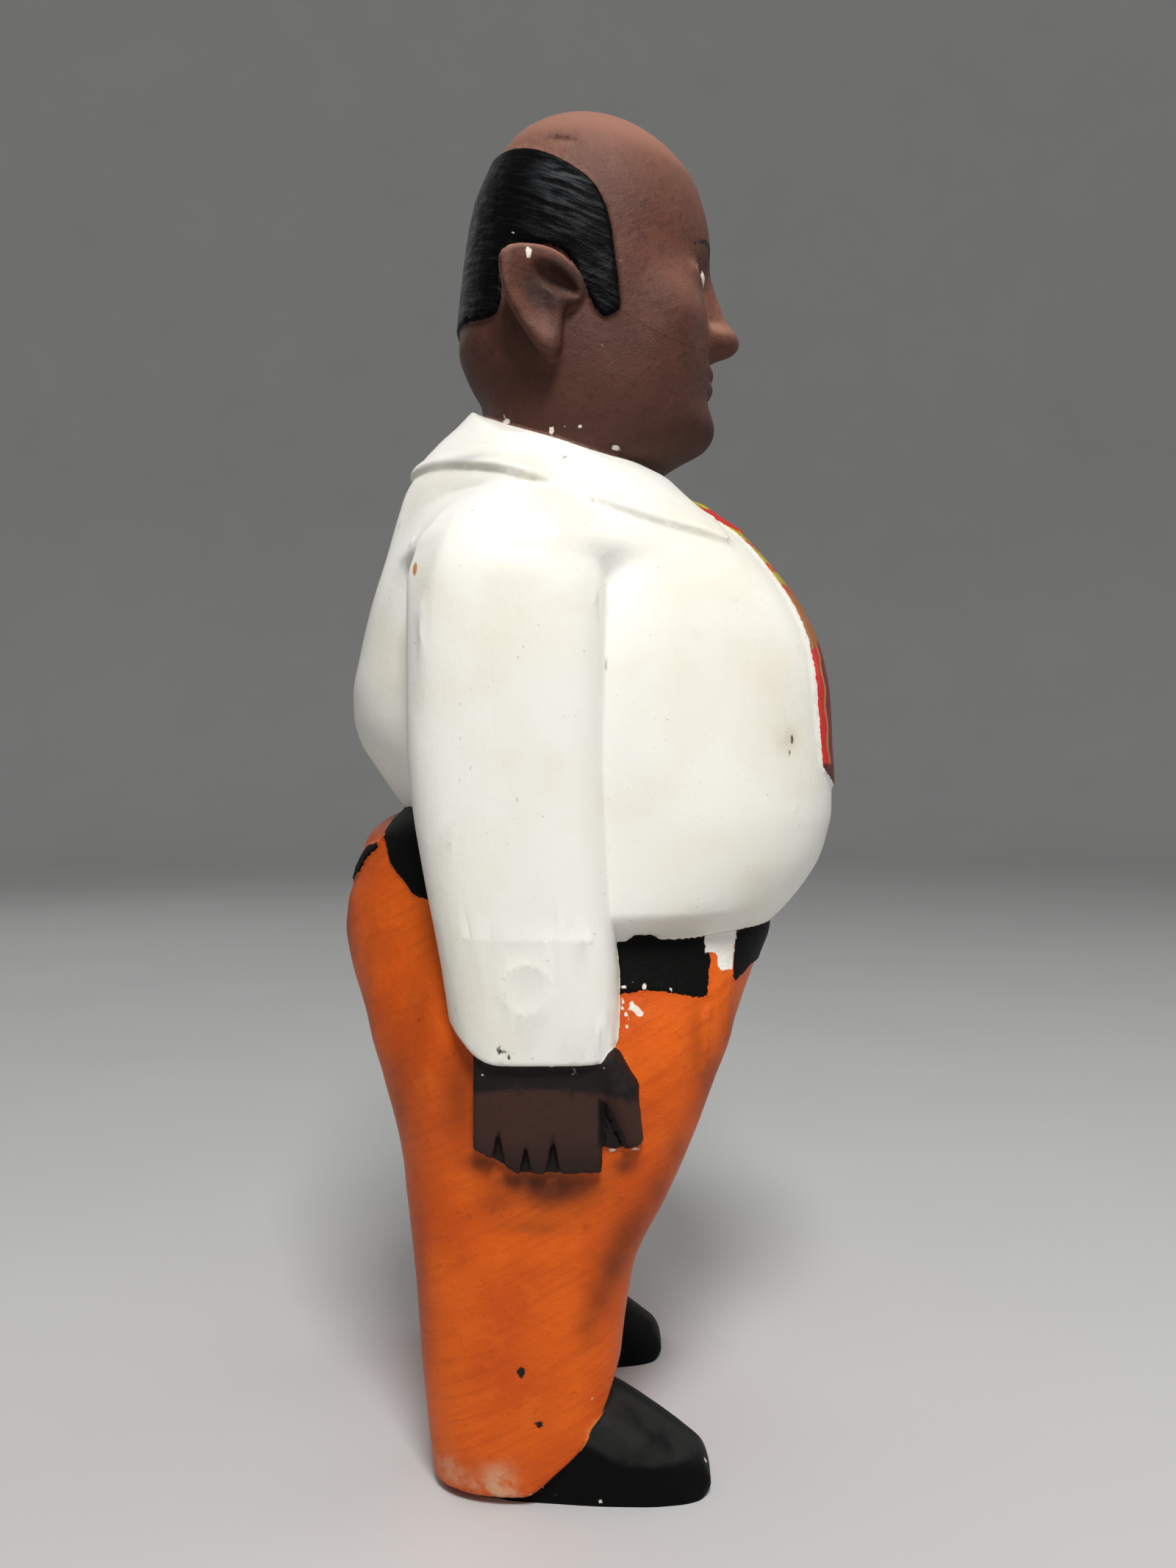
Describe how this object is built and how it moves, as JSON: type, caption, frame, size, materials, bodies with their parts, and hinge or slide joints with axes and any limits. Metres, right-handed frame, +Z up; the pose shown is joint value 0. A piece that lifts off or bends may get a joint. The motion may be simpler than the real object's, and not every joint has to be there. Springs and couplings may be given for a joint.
{
  "type": "african colon figure",
  "caption": "Standing stout man in a shirt, tie, belt and trousers, arms at his sides, carved from one block of wood and painted",
  "frame": {"origin": "Middle of the figure's footprint box, on the plane of the soles (bottom centre of the bounding box).", "axes": "+Z is up along the figure's height, the figure faces -Y, and its right side is at -X."},
  "size_m": [0.19, 0.2045, 0.5451],
  "materials": {
    "painted_wood": "carved solid wood under brushed gloss and matt paint: white shirt, orange trousers, black belt and shoes, brown skin"
  },
  "bodies": {
    "root": {"colon_figure": "painted_wood"}
  },
  "joints": []
}
